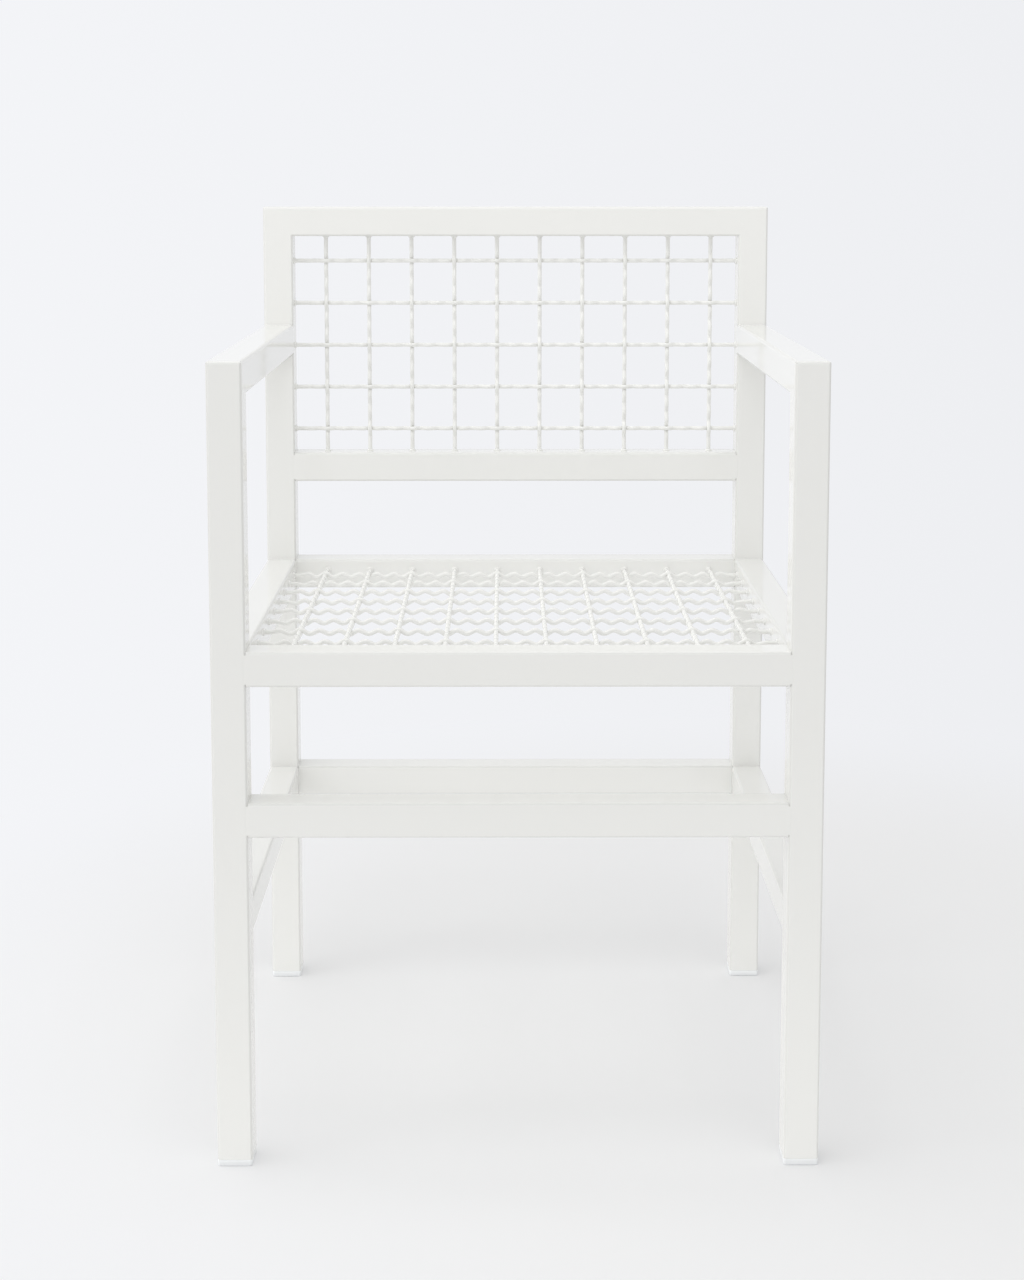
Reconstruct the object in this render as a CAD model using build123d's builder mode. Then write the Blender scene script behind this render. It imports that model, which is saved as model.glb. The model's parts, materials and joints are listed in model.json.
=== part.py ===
"""A welded armchair of square steel tube, with crimped wire mesh in its seat and its back.

X runs across the chair, to the right of someone who looks at its front. The chair faces -Y, and Z is up.
The origin is on the floor, at the middle of the four feet. All sizes are in millimetres.
"""

import os
from itertools import pairwise
from math import asin, atan2, cos, floor, hypot, radians, sin

from build123d import *

# The frame: square tube, and the heights and spans that it is cut to
tube = 30.0  # outside width of the tube
wall = 1.5  # wall of the tube
corner = 2.5  # outside corner radius of the tube
least_bore_corner = 0.3  # sharpest corner inside the tube, if its wall is as thick as the outside radius
chair_width = 516.0  # over the outer faces of the legs
chair_depth = 450.0  # from the front of the front legs to the rear of the back posts
back_height = 815.0  # floor to the top of the back
arm_height = 694.0  # floor to the top of the armrests
lower_back_height = 562.0  # floor to the top of the back's lower rail
seat_height = 450.0  # floor to the top of the seat rails
front_stretcher_height = 320.0  # floor to the top of the front stretcher
low_stretcher_height = 229.0  # floor to the top of the side and rear stretchers

weld_turn = 75.0  # degrees of the tube's round corner that a flush weld covers

# The foot caps: a sole as wide as the tube, and a ribbed plug that pushes into it
sole = 6.0  # height of the sole under the tube
sole_edge = 1.2  # rounding of the sole's lower edge
sole_seam = 0.4  # chamfer along the sole's upper edge, which draws the seam under the tube
plug = 16.0  # height of the plug
plug_wall = 2.0  # wall of the hollow plug
rib = 1.6  # thickness of each rib round the plug
rib_step = 5.0  # spacing of the ribs
rib_reach = 1.4  # how far a rib stands out from the plug
rib_clearance = 0.1  # gap between a rib and the bore of the tube

# The mesh: wires with a crimp that waves through several crests between two crossings
wire = 4.2  # diameter of a wire with its paint
wire_clearance = 0.1  # gap between two wires where they cross
pitch = 44.0  # spacing of the wires across the chair, and of the seat's cross wires
back_row_pitch = 43.5  # spacing of the cross wires up the back
half_waves = 5  # half waves of the crimp from one crossing to the next, an odd number
crimp_depth = 3.1  # from crest to trough between two crossings, along the middle of the wire
crimp_share = 0.86  # bend radius of the crimp, as a share of the fullest that the wave has room for
left_margin = 33.0  # from the left inner face of the frame to the first wire beside it
rear_margin = 29.0  # from the rear seat rail to the first cross wire of the seat
top_margin = 25.5  # from the back's top rail to its first cross wire
seat_mesh_drop = 11.2  # from the top of the seat rails down to the middle of the mesh
back_mesh_inset = 15.0  # from the front of the back posts to the middle of the mesh

# The weld beads round the ends of the wires
bead_height = 1.8  # along the wire
bead_spread = 1.3  # out from the wire
bead_fullness = 0.7  # share of its height and spread that the middle of a bead's crown reaches
bead_clearance = 0.02  # gap between a bead's hole and its wire

# Places that follow from the sizes above
half_tube = tube / 2
bore = tube - 2 * wall
bore_corner = max(corner - wall, least_bore_corner)
half_width = chair_width / 2
half_depth = chair_depth / 2
leg_x = half_width - half_tube  # middle of a leg
leg_y = half_depth - half_tube
inner_x = half_width - tube  # inner face of a leg
inner_y = half_depth - tube
cross_span = 2 * inner_x  # clear width between the legs
side_span = 2 * inner_y  # clear depth between the legs and the posts

seat_mid = seat_height - half_tube  # middle lines of the rails
arm_mid = arm_height - half_tube
top_mid = back_height - half_tube
lower_back_mid = lower_back_height - half_tube
front_stretcher_mid = front_stretcher_height - half_tube
low_stretcher_mid = low_stretcher_height - half_tube

RIGHT, LEFT = Vector(1, 0, 0), Vector(-1, 0, 0)
FRONT, REAR = Vector(0, -1, 0), Vector(0, 1, 0)
UP, DOWN = Vector(0, 0, 1), Vector(0, 0, -1)
SIDES = {"left": -1, "right": 1}

os.makedirs("parts", exist_ok=True)


def save(builder, name):
    """Label a finished piece and write it under its own name."""
    builder.part.label = name
    export_step(builder.part, f"parts/{name}.step")


def across(origin, direction):
    """The plane that a tube's section is drawn on: its normal runs along the tube."""
    level = direction.cross(UP)
    return Plane(origin=origin, x_dir=level if level.length else RIGHT, z_dir=direction)


def mitre_round(outer_edge, along):
    """The sliver outside the rounded edge of a mitre, from one side of the tube to the other."""
    with BuildPart(mode=Mode.PRIVATE) as sliver:
        with BuildSketch(Plane(origin=outer_edge, x_dir=along, z_dir=along.cross(UP))):
            Rectangle(corner, corner, align=(Align.MIN, Align.MAX))
            with Locations((corner, -corner)):
                Circle(corner, mode=Mode.SUBTRACT)
        extrude(amount=half_tube, both=True)
    return sliver.part


def tube_piece(name, origin, direction, length, mitres=(), keep=Keep.TOP):
    """A length of square tube. An end with no mitre is cut square, and butts against the face it is welded to.

    mitres lists the outer edge of each 45 degree mitre, and the way that the level tube leaves that edge.
    The level tube keeps the top of the cut, and the upright keeps the bottom.
    """
    with BuildPart() as piece:
        with BuildSketch(across(origin, direction)):
            RectangleRounded(tube, tube, corner)
            RectangleRounded(bore, bore, bore_corner, mode=Mode.SUBTRACT)
        extrude(amount=length)
        for edge, along in mitres:
            split(bisect_by=Plane(origin=edge, z_dir=along + UP), keep=keep)
            add(mitre_round(edge, along), mode=Mode.SUBTRACT)
    save(piece, name)


# Uprights and the tubes that are mitred onto them: an armrest on each front leg, and the top rail on the posts
top_mitres = []
for side, sign in SIDES.items():
    x = sign * leg_x
    inward = LEFT if sign > 0 else RIGHT
    arm_mitre = ((x, -half_depth, arm_height), REAR)
    top_mitre = ((sign * half_width, leg_y, back_height), inward)
    top_mitres.append(top_mitre)
    tube_piece(f"{side}_front_leg", (x, -leg_y, sole), UP, arm_height - sole, [arm_mitre], Keep.BOTTOM)
    tube_piece(f"{side}_back_post", (x, leg_y, sole), UP, back_height - sole, [top_mitre], Keep.BOTTOM)
    tube_piece(f"{side}_armrest", (x, -half_depth, arm_mid), REAR, half_depth + inner_y, [arm_mitre])
tube_piece("back_top_rail", (-half_width, leg_y, top_mid), RIGHT, chair_width, top_mitres)

# Rails and stretchers that butt between the uprights
butt_joints = []  # where each butt end meets its upright, and the way that the rail leaves it
cross_rails = {
    "back_lower_rail": (leg_y, lower_back_mid),
    "seat_front_rail": (-leg_y, seat_mid),
    "seat_rear_rail": (leg_y, seat_mid),
    "front_stretcher": (-leg_y, front_stretcher_mid),
    "rear_stretcher": (leg_y, low_stretcher_mid),
}
for name, (y, z) in cross_rails.items():
    tube_piece(name, (-inner_x, y, z), RIGHT, cross_span)
    butt_joints += [(Vector(-inner_x, y, z), RIGHT), (Vector(inner_x, y, z), LEFT)]
for side, sign in SIDES.items():
    x = sign * leg_x
    for name, z in {"seat_rail": seat_mid, "stretcher": low_stretcher_mid}.items():
        tube_piece(f"{side}_{name}", (x, -inner_y, z), REAR, side_span)
        butt_joints += [(Vector(x, -inner_y, z), REAR), (Vector(x, inner_y, z), FRONT)]
    butt_joints.append((Vector(x, inner_y, arm_mid), FRONT))


def frame_welds(name, joints):
    """The weld metal, ground flush, that fills the groove beside each butt end along the upright's round corners.

    The groove's section lies between the rail's end, the face that both tubes share and the round corner. Its thin
    edge stops short, where the corner has turned by weld_turn.
    """
    reach = corner * (1 - cos(radians(weld_turn)))
    edge = corner * (1 - sin(radians(weld_turn)))
    turn_middle = radians(weld_turn / 2)
    middle = (corner * (1 - cos(turn_middle)), corner * (1 - sin(turn_middle)))
    flat = tube - 2 * corner
    with BuildPart() as welds:
        for place, away in joints:
            for outward in (away.cross(UP), UP.cross(away)):
                origin = place + outward * half_tube - UP * flat / 2
                with BuildSketch(Plane(origin=origin, x_dir=-away, z_dir=away.cross(outward))):
                    with BuildLine():
                        groove = Polyline((0, corner), (0, 0), (reach, 0), (reach, edge))
                        ThreePointArc(groove @ 1, middle, groove @ 0)
                    make_face()
                extrude(amount=flat, dir=UP)
    save(welds, name)


frame_welds("frame_welds", butt_joints)


def foot_cap(name, x, y):
    """A moulded foot: the sole that shows under the tube, and the hollow ribbed plug inside it."""
    rib_width = bore - 2 * rib_clearance
    plug_width = rib_width - 2 * rib_reach
    with BuildPart() as cap:
        with BuildSketch():
            with Locations((x, y)):
                RectangleRounded(tube, tube, corner)
        extrude(amount=sole)
        fillet(cap.faces().sort_by(Axis.Z)[0].edges(), sole_edge)
        chamfer(cap.faces().sort_by(Axis.Z)[-1].edges(), sole_seam)
        with BuildSketch(Plane.XY.offset(sole)):
            with Locations((x, y)):
                RectangleRounded(plug_width, plug_width, bore_corner)
        extrude(amount=plug)
        rib_count = floor((plug - rib) / rib_step)
        for level in range(rib_count):
            with BuildSketch(Plane.XY.offset(sole + (level + 1) * rib_step - rib)):
                with Locations((x, y)):
                    RectangleRounded(rib_width, rib_width, bore_corner)
            extrude(amount=rib)
        hollow = plug_width - 2 * plug_wall
        with BuildSketch(Plane.XY.offset(sole)):
            with Locations((x, y)):
                RectangleRounded(hollow, hollow, bore_corner)
        extrude(amount=plug, mode=Mode.SUBTRACT)
    save(cap, name)


for side, sign in SIDES.items():
    foot_cap(f"{side}_front_foot_cap", sign * leg_x, -leg_y)
    foot_cap(f"{side}_rear_foot_cap", sign * leg_x, leg_y)


# The mesh. A wire is worked out flat: its length is X, and its crimp swings to either side along Y
swing = (wire + wire_clearance) / 2  # how far a wire stands from the middle of the mesh where it crosses another
shortest_end = bead_height + wire / 2  # straight length that a wire keeps beside the frame


def wire_places(first, spacing, span):
    """Where the wires cross a clear span: whole pitches from the first, and clear of the far side."""
    count = floor((span - first - wire) / spacing) + 1
    return [first + i * spacing for i in range(count)]


def crimped_route(crossings, span, first_side):
    """The corners of a crimped wire's zigzag and their radius, with a straight end at each side of the span.

    The wire lies on first_side (+1 or -1) of the mesh at its first crossing, and then changes sides. Its crests are
    tallest at the crossings, and it comes back to the middle of the mesh for its ends, where it has the room.
    """
    step = (crossings[1] - crossings[0]) / half_waves
    before = max(floor((crossings[0] - shortest_end) / step), 0)
    after = max(floor((span - crossings[-1] - shortest_end) / step), 0)
    last = before + (len(crossings) - 1) * half_waves
    heights = [crimp_depth / 2] * (last + after + 1)
    heights[0] = heights[-1] = 0
    heights[before : last + 1 : half_waves] = [swing] * len(crossings)

    rises = [height + following for height, following in pairwise(heights)]
    steepest = max(rises)
    bend = crimp_share * (step**2 + steepest**2) / (4 * steepest)
    flanks = [asin(2 * bend / hypot(step, 2 * bend - rise)) - atan2(2 * bend - rise, step) for rise in rises]
    slopes = [0, *flanks, 0]

    start = crossings[0] - before * step
    side = first_side * (-1) ** before
    corners = [(0, side * heights[0])]
    for i, height in enumerate(heights):
        lean = (slopes[i + 1] - slopes[i]) / 2  # the corner of a lopsided crest stands off its middle
        reach = bend / cos((slopes[i] + slopes[i + 1]) / 2)  # from the middle of the bend out to its corner
        corners.append((start + i * step + reach * sin(lean), side * (height - bend + reach * cos(lean))))
        side = -side
    corners.append((span, -side * heights[-1]))
    return corners, bend


def crimped_wire(name, plane, crossings, span, first_side):
    """One crimped wire from face to face of the frame. Returns the planes of its two ends, facing the mesh."""
    corners, bend = crimped_route(crossings, span, first_side)
    with BuildPart() as strand:
        with BuildLine(plane) as route:
            FilletPolyline(*corners, radius=bend)
        start = Plane(origin=plane.from_local_coords(corners[0]), z_dir=plane.x_dir)
        with BuildSketch(start):
            Circle(wire / 2)
        sweep(path=route.line)
    save(strand, name)
    return [start, Plane(origin=plane.from_local_coords(corners[-1]), z_dir=-plane.x_dir)]


def weld_beads(name, ends):
    """The small round bead that welds each end of a wire to the frame, one solid for each end."""
    hole = wire / 2 + bead_clearance
    with BuildPart(mode=Mode.PRIVATE) as bead:
        with BuildSketch(Plane.XZ):
            with BuildLine():
                foot = Line((hole, 0), (hole + bead_spread, 0))
                crown = ThreePointArc(
                    foot @ 1,
                    (hole + bead_fullness * bead_spread, bead_fullness * bead_height),
                    (hole, bead_height),
                )
                Line(crown @ 1, foot @ 0)
            make_face()
        revolve(axis=Axis.Z)
    with BuildPart() as beads:
        with Locations(*[Location(end) for end in ends]):
            add(bead.part)
    save(beads, name)


def weave(panel, families):
    """A panel of woven mesh: every wire as a piece, going over and under in turn, and the beads at their ends.

    families lists the two ways that the wires run: a name, the plane of each wire, the places where the other
    wires cross it, its span, and the side of the mesh that the first wire has at its first crossing.
    """
    ends = []
    for family, planes, crossings, span, first_side in families:
        for i, plane in enumerate(planes):
            wire_name = f"{panel}_{family}_wire_{i + 1:02}"
            ends += crimped_wire(wire_name, plane, crossings, span, first_side * (-1) ** i)
    weld_beads(f"{panel}_wire_welds", ends)


# Seat mesh: long wires run from the rear rail to the front, and cross wires from the left rail to the right
column_places = wire_places(left_margin, pitch, cross_span)
seat_row_places = wire_places(rear_margin, pitch, side_span)
seat_mesh_z = seat_height - seat_mesh_drop
seat_long_planes = [
    Plane(origin=(place - inner_x, inner_y, seat_mesh_z), x_dir=FRONT, z_dir=LEFT) for place in column_places
]
seat_cross_planes = [
    Plane(origin=(-inner_x, inner_y - place, seat_mesh_z), x_dir=RIGHT, z_dir=FRONT) for place in seat_row_places
]
weave(
    "seat",
    [
        ("long", seat_long_planes, seat_row_places, side_span, -1),
        ("cross", seat_cross_planes, column_places, cross_span, 1),
    ],
)

# Back mesh: upright wires hang from the top rail to the lower rail, and cross wires run from post to post
back_span = back_height - tube - lower_back_height
back_row_places = wire_places(top_margin, back_row_pitch, back_span)
back_mesh_y = inner_y + back_mesh_inset
top_face = back_height - tube
back_upright_planes = [
    Plane(origin=(place - inner_x, back_mesh_y, top_face), x_dir=DOWN, z_dir=LEFT) for place in column_places
]
back_cross_planes = [
    Plane(origin=(-inner_x, back_mesh_y, top_face - place), x_dir=RIGHT, z_dir=DOWN) for place in back_row_places
]
weave(
    "back",
    [
        ("upright", back_upright_planes, back_row_places, back_span, -1),
        ("cross", back_cross_planes, column_places, cross_span, 1),
    ],
)
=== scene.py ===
# %% [markdown]
# A white armchair of welded square tube, with woven wire mesh in its seat and its back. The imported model
# already holds every tube, wire and foot cap at its real size, so this lesson starts from that frame and
# gives each piece its finish and its light. Nothing here moves or resizes a CAD piece.

# %% Load the frame
import json
import math

import bpy
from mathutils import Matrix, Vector

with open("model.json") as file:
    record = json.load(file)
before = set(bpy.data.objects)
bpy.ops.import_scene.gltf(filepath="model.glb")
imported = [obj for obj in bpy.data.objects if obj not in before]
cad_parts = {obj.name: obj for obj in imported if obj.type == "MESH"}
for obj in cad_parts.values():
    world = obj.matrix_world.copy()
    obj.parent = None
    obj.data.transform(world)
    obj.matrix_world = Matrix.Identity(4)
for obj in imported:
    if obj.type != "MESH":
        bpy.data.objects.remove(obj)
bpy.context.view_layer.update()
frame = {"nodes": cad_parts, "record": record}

nodes = frame["nodes"]

# %% [markdown]
# The photograph was taken a little above the arms, from about two metres, with the lens shifted down so
# that the legs stay nearly upright. Blender's camera has the same control: shift moves the frame and
# leaves the perspective as it is. The camera's place and lens were worked out from the chair's own edges.

# %% Camera
IMAGE_HEIGHT = 1280
FOCAL_PIXELS = 2042.3
AXIS_ROW = 401.9  # the row of the photograph that the lens axis meets
SENSOR_MM = 36.0
CAMERA_PLACE = (-0.0122, -1.8984, 0.8432)
CAMERA_TILT = math.radians(-6.232)
CAMERA_TURN = math.radians(0.236)

lens = bpy.data.cameras.new("photo_camera")
lens.sensor_width = SENSOR_MM
lens.lens = SENSOR_MM * FOCAL_PIXELS / IMAGE_HEIGHT
lens.shift_y = (AXIS_ROW - IMAGE_HEIGHT / 2) / IMAGE_HEIGHT
camera = bpy.data.objects.new("photo_camera", lens)
camera.location = CAMERA_PLACE
camera.rotation_euler = (math.pi / 2 + CAMERA_TILT, 0, -CAMERA_TURN)
bpy.context.scene.collection.objects.link(camera)
bpy.context.scene.camera = camera
bpy.context.scene.view_settings.view_transform = "Standard"
print("lens:", round(lens.lens, 2), "mm, shift:", round(lens.shift_y, 4))

# %% [markdown]
# Three helpers serve every finish. Colours are written as sRGB hex, the way a paint chart gives them, and
# the first helper turns them to the linear values that Blender's shaders work with. The second adds a
# shader node, sets its values and makes its links in one go. The third starts an empty material.


# %% Colour and node helpers
def linear(hex_colour):
    """An sRGB hex colour as linear RGBA."""
    channels = [int(hex_colour[i : i + 2], 16) / 255 for i in (1, 3, 5)]
    return (*[c / 12.92 if c <= 0.04045 else ((c + 0.055) / 1.055) ** 2.4 for c in channels], 1.0)


def add_node(tree, kind, settings=None, values=None, links=None):
    """Add a node: its properties, its input values by name, and links from (node, output) to its inputs."""
    node = tree.nodes.new(kind)
    for name, value in (settings or {}).items():
        setattr(node, name, value)
    for name, value in (values or {}).items():
        node.inputs[name].default_value = value
    for name, (source, output) in (links or {}).items():
        tree.links.new(source.outputs[output], node.inputs[name])
    return node


def new_material(name):
    """An empty node material, its node tree and its output node."""
    material = bpy.data.materials.new(name)
    material.use_nodes = True
    tree = material.node_tree
    tree.nodes.clear()
    return material, tree, add_node(tree, "ShaderNodeOutputMaterial")


print("sRGB mid grey is", round(linear("#808080")[0], 3), "in linear light")

# %% [markdown]
# The chair is painted with gloss white polyester powder coat: a dry powder that is sprayed on and melted
# in an oven. It gives the eye a clean warm white, a clear gloss that turns mirror-like at a glancing
# angle, and a faint orange peel where the melted grains drew together. Down the tubes' rounded edges the
# colour is painted darker: a fine grey line of painted shade where the rounding turns away from the
# light. A plain colour would look like paper, so the film's thickness
# wanders as well, in soft clouds as wide as a hand, and the gloss with it. Pictures of real paint could
# give the same, but noise has no seams and fits every tube. Real peel is about 1.5 mm across, too fine to
# show here, so it is drawn at 6 mm.

# %% Powder coat
COAT_WHITE = "#EEEEEB"
COAT_WHITE_THIN = "#ECECE9"
# painted shade: the grey line down the tubes' rounded edges
PAINTED_EDGE_SHADE = "#E2E2DF"
COAT_ROUGHNESS = (0.05, 0.09)
COAT_IOR = 1.5
CLOUD_MM = 90.0
CLOUD_DETAIL = 3.0
PEEL_MM = 6.0
PEEL_DETAIL = 2.0
PEEL_HEIGHT_MM = 0.0012
PEEL_STRENGTH = 0.35
EDGE_TURN = (0.995, 0.85)  # how squarely a face looks along an axis: flat, and well round the edge
PER_METRE = 1000.0  # millimetres


def powder_coat(name, painted_edge_shade):
    """Gloss white powder coat. Its second argument adds painted shade, a grey line round the edges of
    square tube.
    """
    material, tree, output = new_material(name)
    place = add_node(tree, "ShaderNodeTexCoord")
    cloud = add_node(tree, "ShaderNodeTexNoise", links={"Vector": (place, "Object")},
                     values={"Scale": PER_METRE / CLOUD_MM, "Detail": CLOUD_DETAIL})
    colour = add_node(tree, "ShaderNodeMix", {"data_type": "RGBA"}, links={"Factor": (cloud, "Fac")},
                      values={"A": linear(COAT_WHITE), "B": linear(COAT_WHITE_THIN)})
    # painted shade: where the surface rounds over a tube's edge, the colour turns to the grey edge shade
    if painted_edge_shade:
        size = add_node(tree, "ShaderNodeVectorMath", {"operation": "ABSOLUTE"},
                        links={0: (place, "Normal")})
        axes = add_node(tree, "ShaderNodeSeparateXYZ", links={"Vector": (size, "Vector")})
        wider = add_node(tree, "ShaderNodeMath", {"operation": "MAXIMUM"},
                         links={0: (axes, "X"), 1: (axes, "Y")})
        widest = add_node(tree, "ShaderNodeMath", {"operation": "MAXIMUM"},
                          links={0: (wider, "Value"), 1: (axes, "Z")})
        edge = add_node(tree, "ShaderNodeMapRange", {"interpolation_type": "SMOOTHSTEP"},
                        {"From Min": EDGE_TURN[0], "From Max": EDGE_TURN[1]}, {"Value": (widest, "Value")})
        colour = add_node(tree, "ShaderNodeMix", {"data_type": "RGBA"}, {"B": linear(PAINTED_EDGE_SHADE)},
                          {"Factor": (edge, "Result"), "A": (colour, "Result")})
    gloss = add_node(tree, "ShaderNodeMapRange", links={"Value": (cloud, "Fac")},
                     values={"To Min": COAT_ROUGHNESS[0], "To Max": COAT_ROUGHNESS[1]})
    peel = add_node(tree, "ShaderNodeTexNoise", links={"Vector": (place, "Object")},
                    values={"Scale": PER_METRE / PEEL_MM, "Detail": PEEL_DETAIL})
    bump = add_node(tree, "ShaderNodeBump", links={"Height": (peel, "Fac")},
                    values={"Strength": PEEL_STRENGTH, "Distance": PEEL_HEIGHT_MM / PER_METRE})
    shader = add_node(tree, "ShaderNodeBsdfPrincipled", values={"IOR": COAT_IOR},
                      links={"Base Color": (colour, "Result"), "Roughness": (gloss, "Result"),
                             "Normal": (bump, "Normal")})
    tree.links.new(shader.outputs["BSDF"], output.inputs["Surface"])
    print(name, "nodes:", len(tree.nodes))
    return material


# the frame's tubes get the painted edge shade, the wires do not
frame_coat = powder_coat("frame_powder_coat", painted_edge_shade=True)
mesh_coat = powder_coat("mesh_powder_coat", painted_edge_shade=False)

# %% [markdown]
# The foot caps are injection-moulded polyethylene, a cooler white than the paint and far less glossy. The
# mould gives them a fine spark-eroded grain. The melt cools unevenly, so colour and sheen drift a little
# over each cap. Real grain is a few tenths of a millimetre across, too fine to show here, so it is drawn
# at 1.2 mm. It is so shallow that bump does as well as real dents.

# %% Moulded foot caps
CAP_WHITE = "#F3F5F6"
CAP_WHITE_DULL = "#EFF1F2"
CAP_ROUGHNESS = (0.36, 0.48)
CAP_IOR = 1.51
FLOW_MM = 14.0
FLOW_DETAIL = 2.0
GRAIN_MM = 1.2
GRAIN_DETAIL = 2.0
GRAIN_HEIGHT_MM = 0.05
GRAIN_STRENGTH = 0.3


def moulded_polyethylene(name):
    """Matt white plastic with the grain of its mould."""
    material, tree, output = new_material(name)
    place = add_node(tree, "ShaderNodeTexCoord")
    flow = add_node(tree, "ShaderNodeTexNoise", links={"Vector": (place, "Object")},
                    values={"Scale": PER_METRE / FLOW_MM, "Detail": FLOW_DETAIL})
    colour = add_node(tree, "ShaderNodeMix", {"data_type": "RGBA"}, links={"Factor": (flow, "Fac")},
                      values={"A": linear(CAP_WHITE), "B": linear(CAP_WHITE_DULL)})
    sheen = add_node(tree, "ShaderNodeMapRange", links={"Value": (flow, "Fac")},
                     values={"To Min": CAP_ROUGHNESS[0], "To Max": CAP_ROUGHNESS[1]})
    grain = add_node(tree, "ShaderNodeTexNoise", links={"Vector": (place, "Object")},
                     values={"Scale": PER_METRE / GRAIN_MM, "Detail": GRAIN_DETAIL})
    bump = add_node(tree, "ShaderNodeBump", links={"Height": (grain, "Fac")},
                    values={"Strength": GRAIN_STRENGTH, "Distance": GRAIN_HEIGHT_MM / PER_METRE})
    shader = add_node(tree, "ShaderNodeBsdfPrincipled", values={"IOR": CAP_IOR},
                      links={"Base Color": (colour, "Result"), "Roughness": (sheen, "Result"),
                             "Normal": (bump, "Normal")})
    tree.links.new(shader.outputs["BSDF"], output.inputs["Surface"])
    print(name, "nodes:", len(tree.nodes))
    return material


cap_plastic = moulded_polyethylene("moulded_polyethylene")

# %% [markdown]
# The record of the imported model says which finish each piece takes. The tubes, the wires and the welds
# between them go through the paint shop together, and the caps are pressed in afterwards. Reading the
# record is safer than a list of names, because a piece that has no finish stops the script here.

# %% Give every CAD piece its finish
finishes = {"frame_powder_coat": frame_coat, "mesh_powder_coat": mesh_coat, "foot_cap_plastic": cap_plastic}
for subpart in frame["record"]["subparts"]:
    piece = nodes[subpart["node"]]
    piece.data.materials.clear()
    piece.data.materials.append(finishes[subpart["material_slot"]])
print("pieces by finish:", {finish.name: finish.users for finish in finishes.values()})

# %% [markdown]
# A studio photographer stands such a chair on a wide sweep of pale paper, so that no edge shows behind
# it. A real sweep would block the view from the other side, so this floor is one very large disc instead.
# Near the chair it is lit paper that takes the shadow. Further out it fades into the plain backdrop
# colour that the world shows, so the horizon is gone from every side. The backdrop is a little brighter
# on the left, where the light stands.

# %% Backdrop colours
BACKDROP_LEFT = "#FBFCFF"
BACKDROP_RIGHT = "#E6E7EA"


def seen_ray(tree):
    """1 for the rays that show a picture: straight to the camera, off a gloss or through glass."""
    path = add_node(tree, "ShaderNodeLightPath")
    plain = add_node(tree, "ShaderNodeMath", {"operation": "MAXIMUM"},
                     links={0: (path, "Is Camera Ray"), 1: (path, "Is Glossy Ray")})
    return add_node(tree, "ShaderNodeMath", {"operation": "MAXIMUM"},
                    links={0: (plain, "Value"), 1: (path, "Is Transmission Ray")})


def backdrop_colour(tree, across):
    """The backdrop from left to right, where across runs from -1 to 1."""
    share = add_node(tree, "ShaderNodeMapRange", values={"From Min": -1.0}, links={"Value": across})
    return add_node(tree, "ShaderNodeMix", {"data_type": "RGBA"}, links={"Factor": (share, "Result")},
                    values={"A": linear(BACKDROP_LEFT), "B": linear(BACKDROP_RIGHT)})


print("backdrop from", BACKDROP_LEFT, "on the left to", BACKDROP_RIGHT, "on the right")

# %% [markdown]
# The paper has two shaders: a matt one that takes light and shadow, and one that only shows the backdrop
# colour. The distance from the middle of the shadow mixes them. Light that bounces off the floor always
# meets the matt paper, so the fade changes what is seen and not how the chair is lit.

# %% Floor
SHADOW_PAPER = "#EFEFEF"
FLOOR_RADIUS = 45.0
FLOOR_SIDES = 96
SWEEP_CENTRE = 1.5  # metres over which the left and right colours turn into each other
SHADOW_CENTRE = (0.25, 0.15, 0.0)  # the shadow falls behind the chair and to its right
FADE_START, FADE_END = 0.45, 1.1
NEAR_SHARE = 0.15  # how much of the backdrop colour lies over the lit paper beside the chair

paper, tree, output = new_material("seamless_paper")
place = add_node(tree, "ShaderNodeTexCoord")
distance = add_node(tree, "ShaderNodeVectorMath", {"operation": "LENGTH"}, links={0: (place, "Object")})
axes = add_node(tree, "ShaderNodeSeparateXYZ", links={"Vector": (place, "Object")})
spread = add_node(tree, "ShaderNodeMath", {"operation": "ADD"}, {1: SWEEP_CENTRE}, {0: (distance, "Value")})
across = add_node(tree, "ShaderNodeMath", {"operation": "DIVIDE"},
                  links={0: (axes, "X"), 1: (spread, "Value")})
plain = add_node(tree, "ShaderNodeEmission",
                 links={"Color": (backdrop_colour(tree, (across, "Value")), "Result")})
lit = add_node(tree, "ShaderNodeBsdfDiffuse", values={"Color": linear(SHADOW_PAPER)})
away = add_node(tree, "ShaderNodeVectorMath", {"operation": "DISTANCE"}, {1: SHADOW_CENTRE},
                {0: (place, "Object")})
fade = add_node(tree, "ShaderNodeMapRange", {"interpolation_type": "SMOOTHSTEP"},
                {"From Min": FADE_START, "From Max": FADE_END, "To Min": NEAR_SHARE},
                {"Value": (away, "Value")})
share = add_node(tree, "ShaderNodeMath", {"operation": "MULTIPLY"},
                 links={0: (fade, "Result"), 1: (seen_ray(tree), "Value")})
sweep = add_node(tree, "ShaderNodeMixShader",
                 links={0: (share, "Value"), 1: (lit, "BSDF"), 2: (plain, "Emission")})
tree.links.new(sweep.outputs["Shader"], output.inputs["Surface"])

bpy.ops.mesh.primitive_circle_add(vertices=FLOOR_SIDES, radius=FLOOR_RADIUS, fill_type="NGON")
floor = bpy.context.object
floor.name = "studio_floor"
floor.data.materials.append(paper)
print("floor:", 2 * FLOOR_RADIUS, "m across")

# %% [markdown]
# The world shows the same backdrop to the camera and in the gloss of the paint. The soft light that it
# sends to the chair is that of a studio with a bright wall on the left and a dark one on the right, which
# models the square tubes: their left sides are the whitest and their right edges the darkest, as in the
# photograph.

# %% World
ROOM_WHITE = "#FFFFFF"
ROOM_GLOW = (0.58, 1.13)  # how bright the room's dark side and bright side are, for soft light alone
ROOM_BRIGHT_SIDE = (-0.97, -0.25, 0.0)  # the way to the bright side: left, and a little to the front

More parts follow.
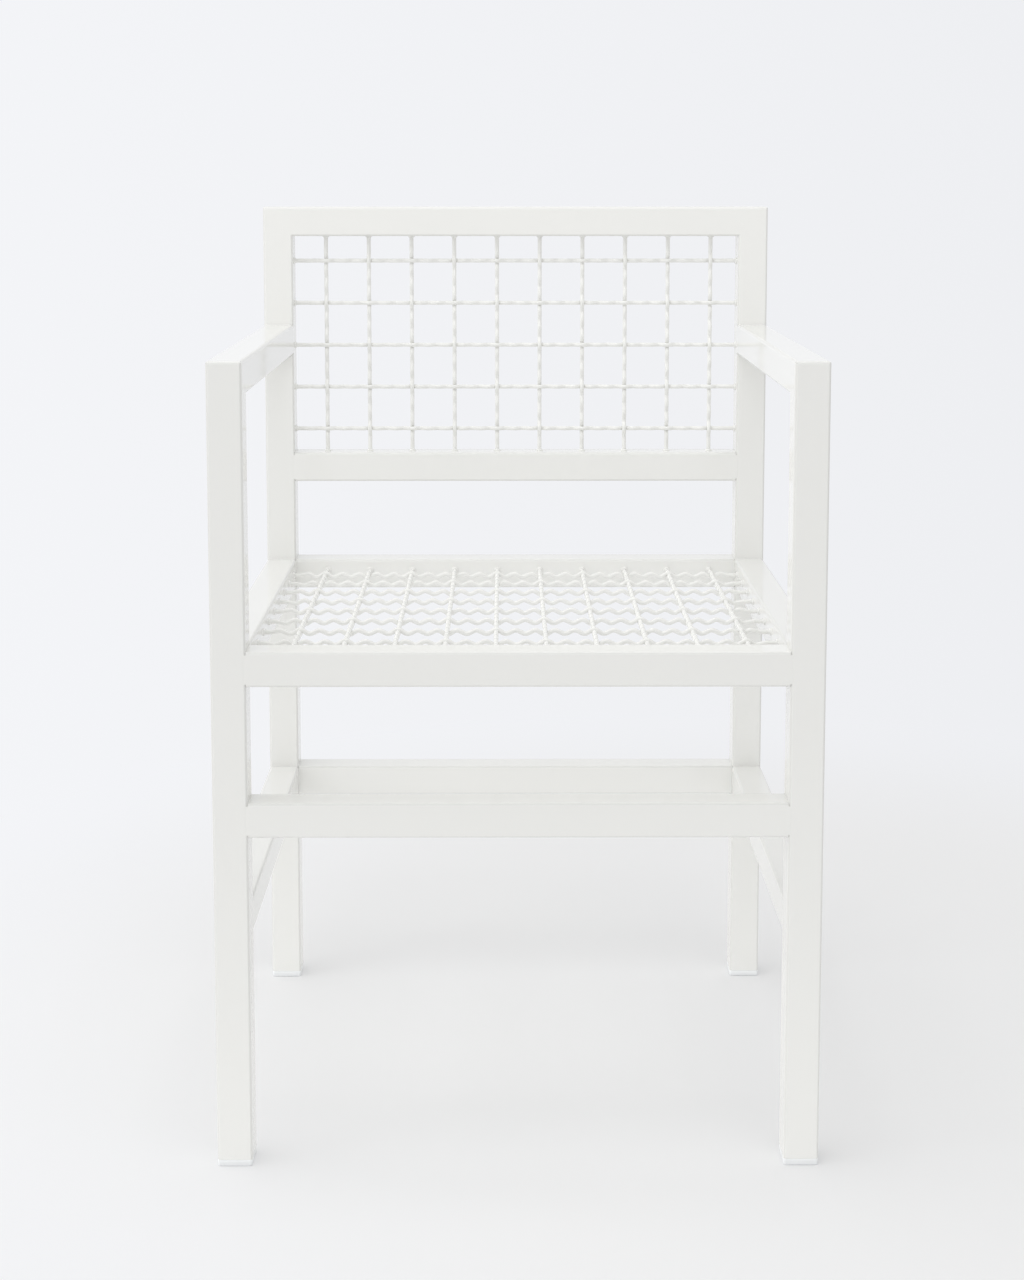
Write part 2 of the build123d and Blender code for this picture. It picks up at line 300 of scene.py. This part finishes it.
world = bpy.data.worlds.new("studio")
bpy.context.scene.world = world
world.use_nodes = True
tree = world.node_tree
tree.nodes.clear()
place = add_node(tree, "ShaderNodeTexCoord")
axes = add_node(tree, "ShaderNodeSeparateXYZ", links={"Vector": (place, "Generated")})
shown = add_node(tree, "ShaderNodeBackground",
                 links={"Color": (backdrop_colour(tree, (axes, "X")), "Result")})
toward = add_node(tree, "ShaderNodeVectorMath", {"operation": "DOT_PRODUCT"}, {1: ROOM_BRIGHT_SIDE},
                  {0: (place, "Generated")})
room = add_node(tree, "ShaderNodeMapRange", links={"Value": (toward, "Value")},
                values={"From Min": -1.0, "To Min": ROOM_GLOW[0], "To Max": ROOM_GLOW[1]})
glow = add_node(tree, "ShaderNodeBackground", values={"Color": linear(ROOM_WHITE)},
                links={"Strength": (room, "Result")})
both = add_node(tree, "ShaderNodeMixShader",
                links={0: (seen_ray(tree), "Value"), 1: (glow, "Background"), 2: (shown, "Background")})
add_node(tree, "ShaderNodeOutputWorld", links={"Surface": (both, "Shader")})
print("world nodes:", len(tree.nodes))

# %% [markdown]
# Three lamps finish the light. A big softbox stands beside the chair on the left. Another hangs above the
# seat, where it whitens the tops of the tubes and the front of the back rest more than the front legs.
# The third lies on the paper and stands for a white card under the chair, which lifts the legs and rails
# that the seat would leave dark. All are so large that their shadows melt away. The camera sees none of
# them, and the gloss of the paint shows only the one above, so that no lamp burns a white patch into the
# tubes from another side.


# %% Softboxes
def softbox(name, place, aim, size, watts, in_gloss=False):
    """A square lamp at place, turned to aim, size metres wide. Reflections show it only with in_gloss."""
    lamp = bpy.data.lights.new(name, "AREA")
    lamp.size = size
    lamp.energy = watts
    stand = bpy.data.objects.new(name, lamp)
    stand.location = place
    stand.rotation_euler = (Vector(aim) - Vector(place)).to_track_quat("-Z", "Y").to_euler()
    stand.visible_camera = False
    stand.visible_glossy = in_gloss
    bpy.context.scene.collection.objects.link(stand)
    print(name, "at", place, "m,", watts, "W")


softbox("side_softbox", place=(-2.1, -0.42, 1.25), aim=(0.0, -0.42, 1.25), size=1.8, watts=8.0)
softbox("top_softbox", place=(0.0, -0.3, 1.9), aim=(0.0, 0.1, 0.4), size=1.0, watts=5.0, in_gloss=True)
softbox("bounce_card", place=(0.25, 0.15, 0.003), aim=(0.25, 0.15, 1.0), size=1.5, watts=1.3)
